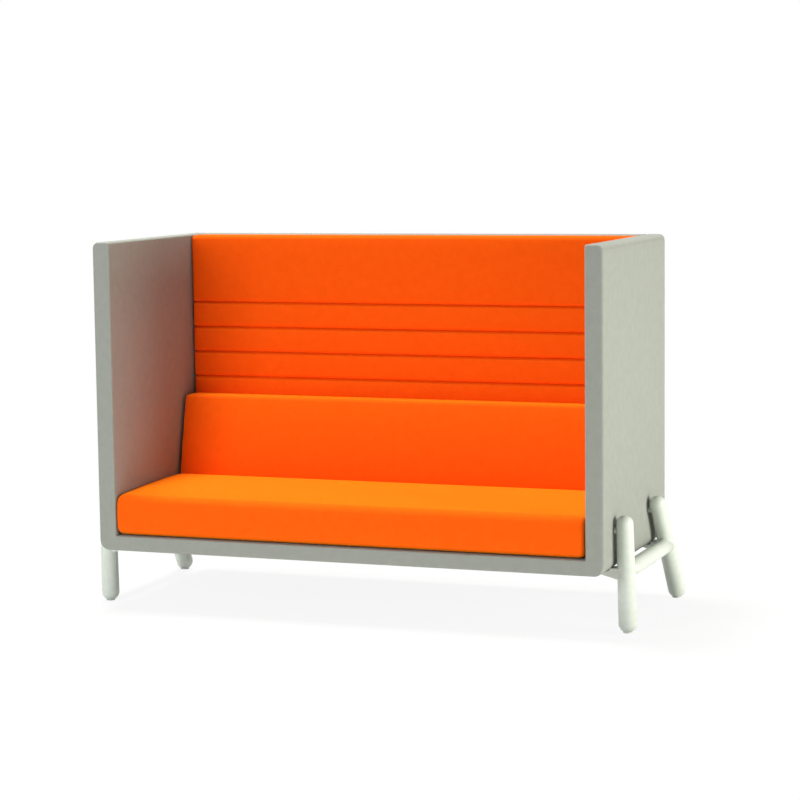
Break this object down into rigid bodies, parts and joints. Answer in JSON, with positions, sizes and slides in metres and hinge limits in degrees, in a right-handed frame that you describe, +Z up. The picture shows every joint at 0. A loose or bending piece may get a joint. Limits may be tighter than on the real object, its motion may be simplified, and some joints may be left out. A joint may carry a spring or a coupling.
{
  "type": "two-seater sofa",
  "caption": "High-backed upholstered sofa: grey shell on painted tube leg frames, with a long seat cushion, a lumbar cushion and a channelled back pad.",
  "frame": {"origin": "on the floor, under the middle of the shell", "axes": "+X to the sitter's left, along the width; the front faces -Y; +Z up"},
  "size_m": [1.908, 0.78, 1.232],
  "materials": {
    "grey_fabric": "matte",
    "orange_fabric": "matte",
    "foam": "matte",
    "hardboard": "matte",
    "timber": "matte",
    "dust_cloth": "matte",
    "hook_tape": "matte",
    "glide_plastic": "matte",
    "white_paint": "satin",
    "zinc_steel": "satin"
  },
  "bodies": {
    "shell": {"arm_bolts": "zinc_steel", "arm_tee_nuts": "zinc_steel", "arm_washers": "zinc_steel", "back_bolt_inserts": "zinc_steel", "back_bolts": "zinc_steel", "back_cover": "grey_fabric", "back_dowels": "timber", "back_frame": "timber", "back_front_skin": "hardboard", "back_pad_board": "timber", "back_pad_cover": "orange_fabric", "back_pad_foam": "foam", "back_pad_strips": "hook_tape", "back_rear_skin": "hardboard", "base_centre_rail": "timber", "base_cover": "grey_fabric", "base_front_rail": "timber", "base_left_rail": "timber", "base_rear_rail": "timber", "base_right_rail": "timber", "dust_cover": "dust_cloth", "left_crossbar": "white_paint", "left_front_arm": "white_paint", "left_front_glide": "glide_plastic", "left_front_post": "white_paint", "left_front_standoff": "white_paint", "left_inner_skin": "hardboard", "left_outer_skin": "hardboard", "left_rear_arm": "white_paint", "left_rear_glide": "glide_plastic", "left_rear_post": "white_paint", "left_rear_standoff": "white_paint", "left_side_cover": "grey_fabric", "left_side_frame": "timber", "post_inserts": "zinc_steel", "right_crossbar": "white_paint", "right_front_arm": "white_paint", "right_front_glide": "glide_plastic", "right_front_post": "white_paint", "right_front_standoff": "white_paint", "right_inner_skin": "hardboard", "right_outer_skin": "hardboard", "right_rear_arm": "white_paint", "right_rear_glide": "glide_plastic", "right_rear_post": "white_paint", "right_rear_standoff": "white_paint", "right_side_cover": "grey_fabric", "right_side_frame": "timber", "seat_deck": "timber", "seat_grip_strips": "hook_tape", "side_bolt_inserts": "zinc_steel", "side_bolts": "zinc_steel", "standoff_bolts": "zinc_steel"},
    "seat_cushion": {"seat_cover": "orange_fabric", "seat_foam": "foam"},
    "lumbar_cushion": {"lumbar_cover": "orange_fabric", "lumbar_foam": "foam"}
  },
  "joints": [
    {"name": "seat_lift", "type": "slide", "parent": "shell", "child": "seat_cushion", "axis": [0, 0, 1], "range_m": [0, 1]},
    {"name": "lumbar_lift", "type": "slide", "parent": "shell", "child": "lumbar_cushion", "axis": [0, 0, 1], "range_m": [0, 1]}
  ]
}
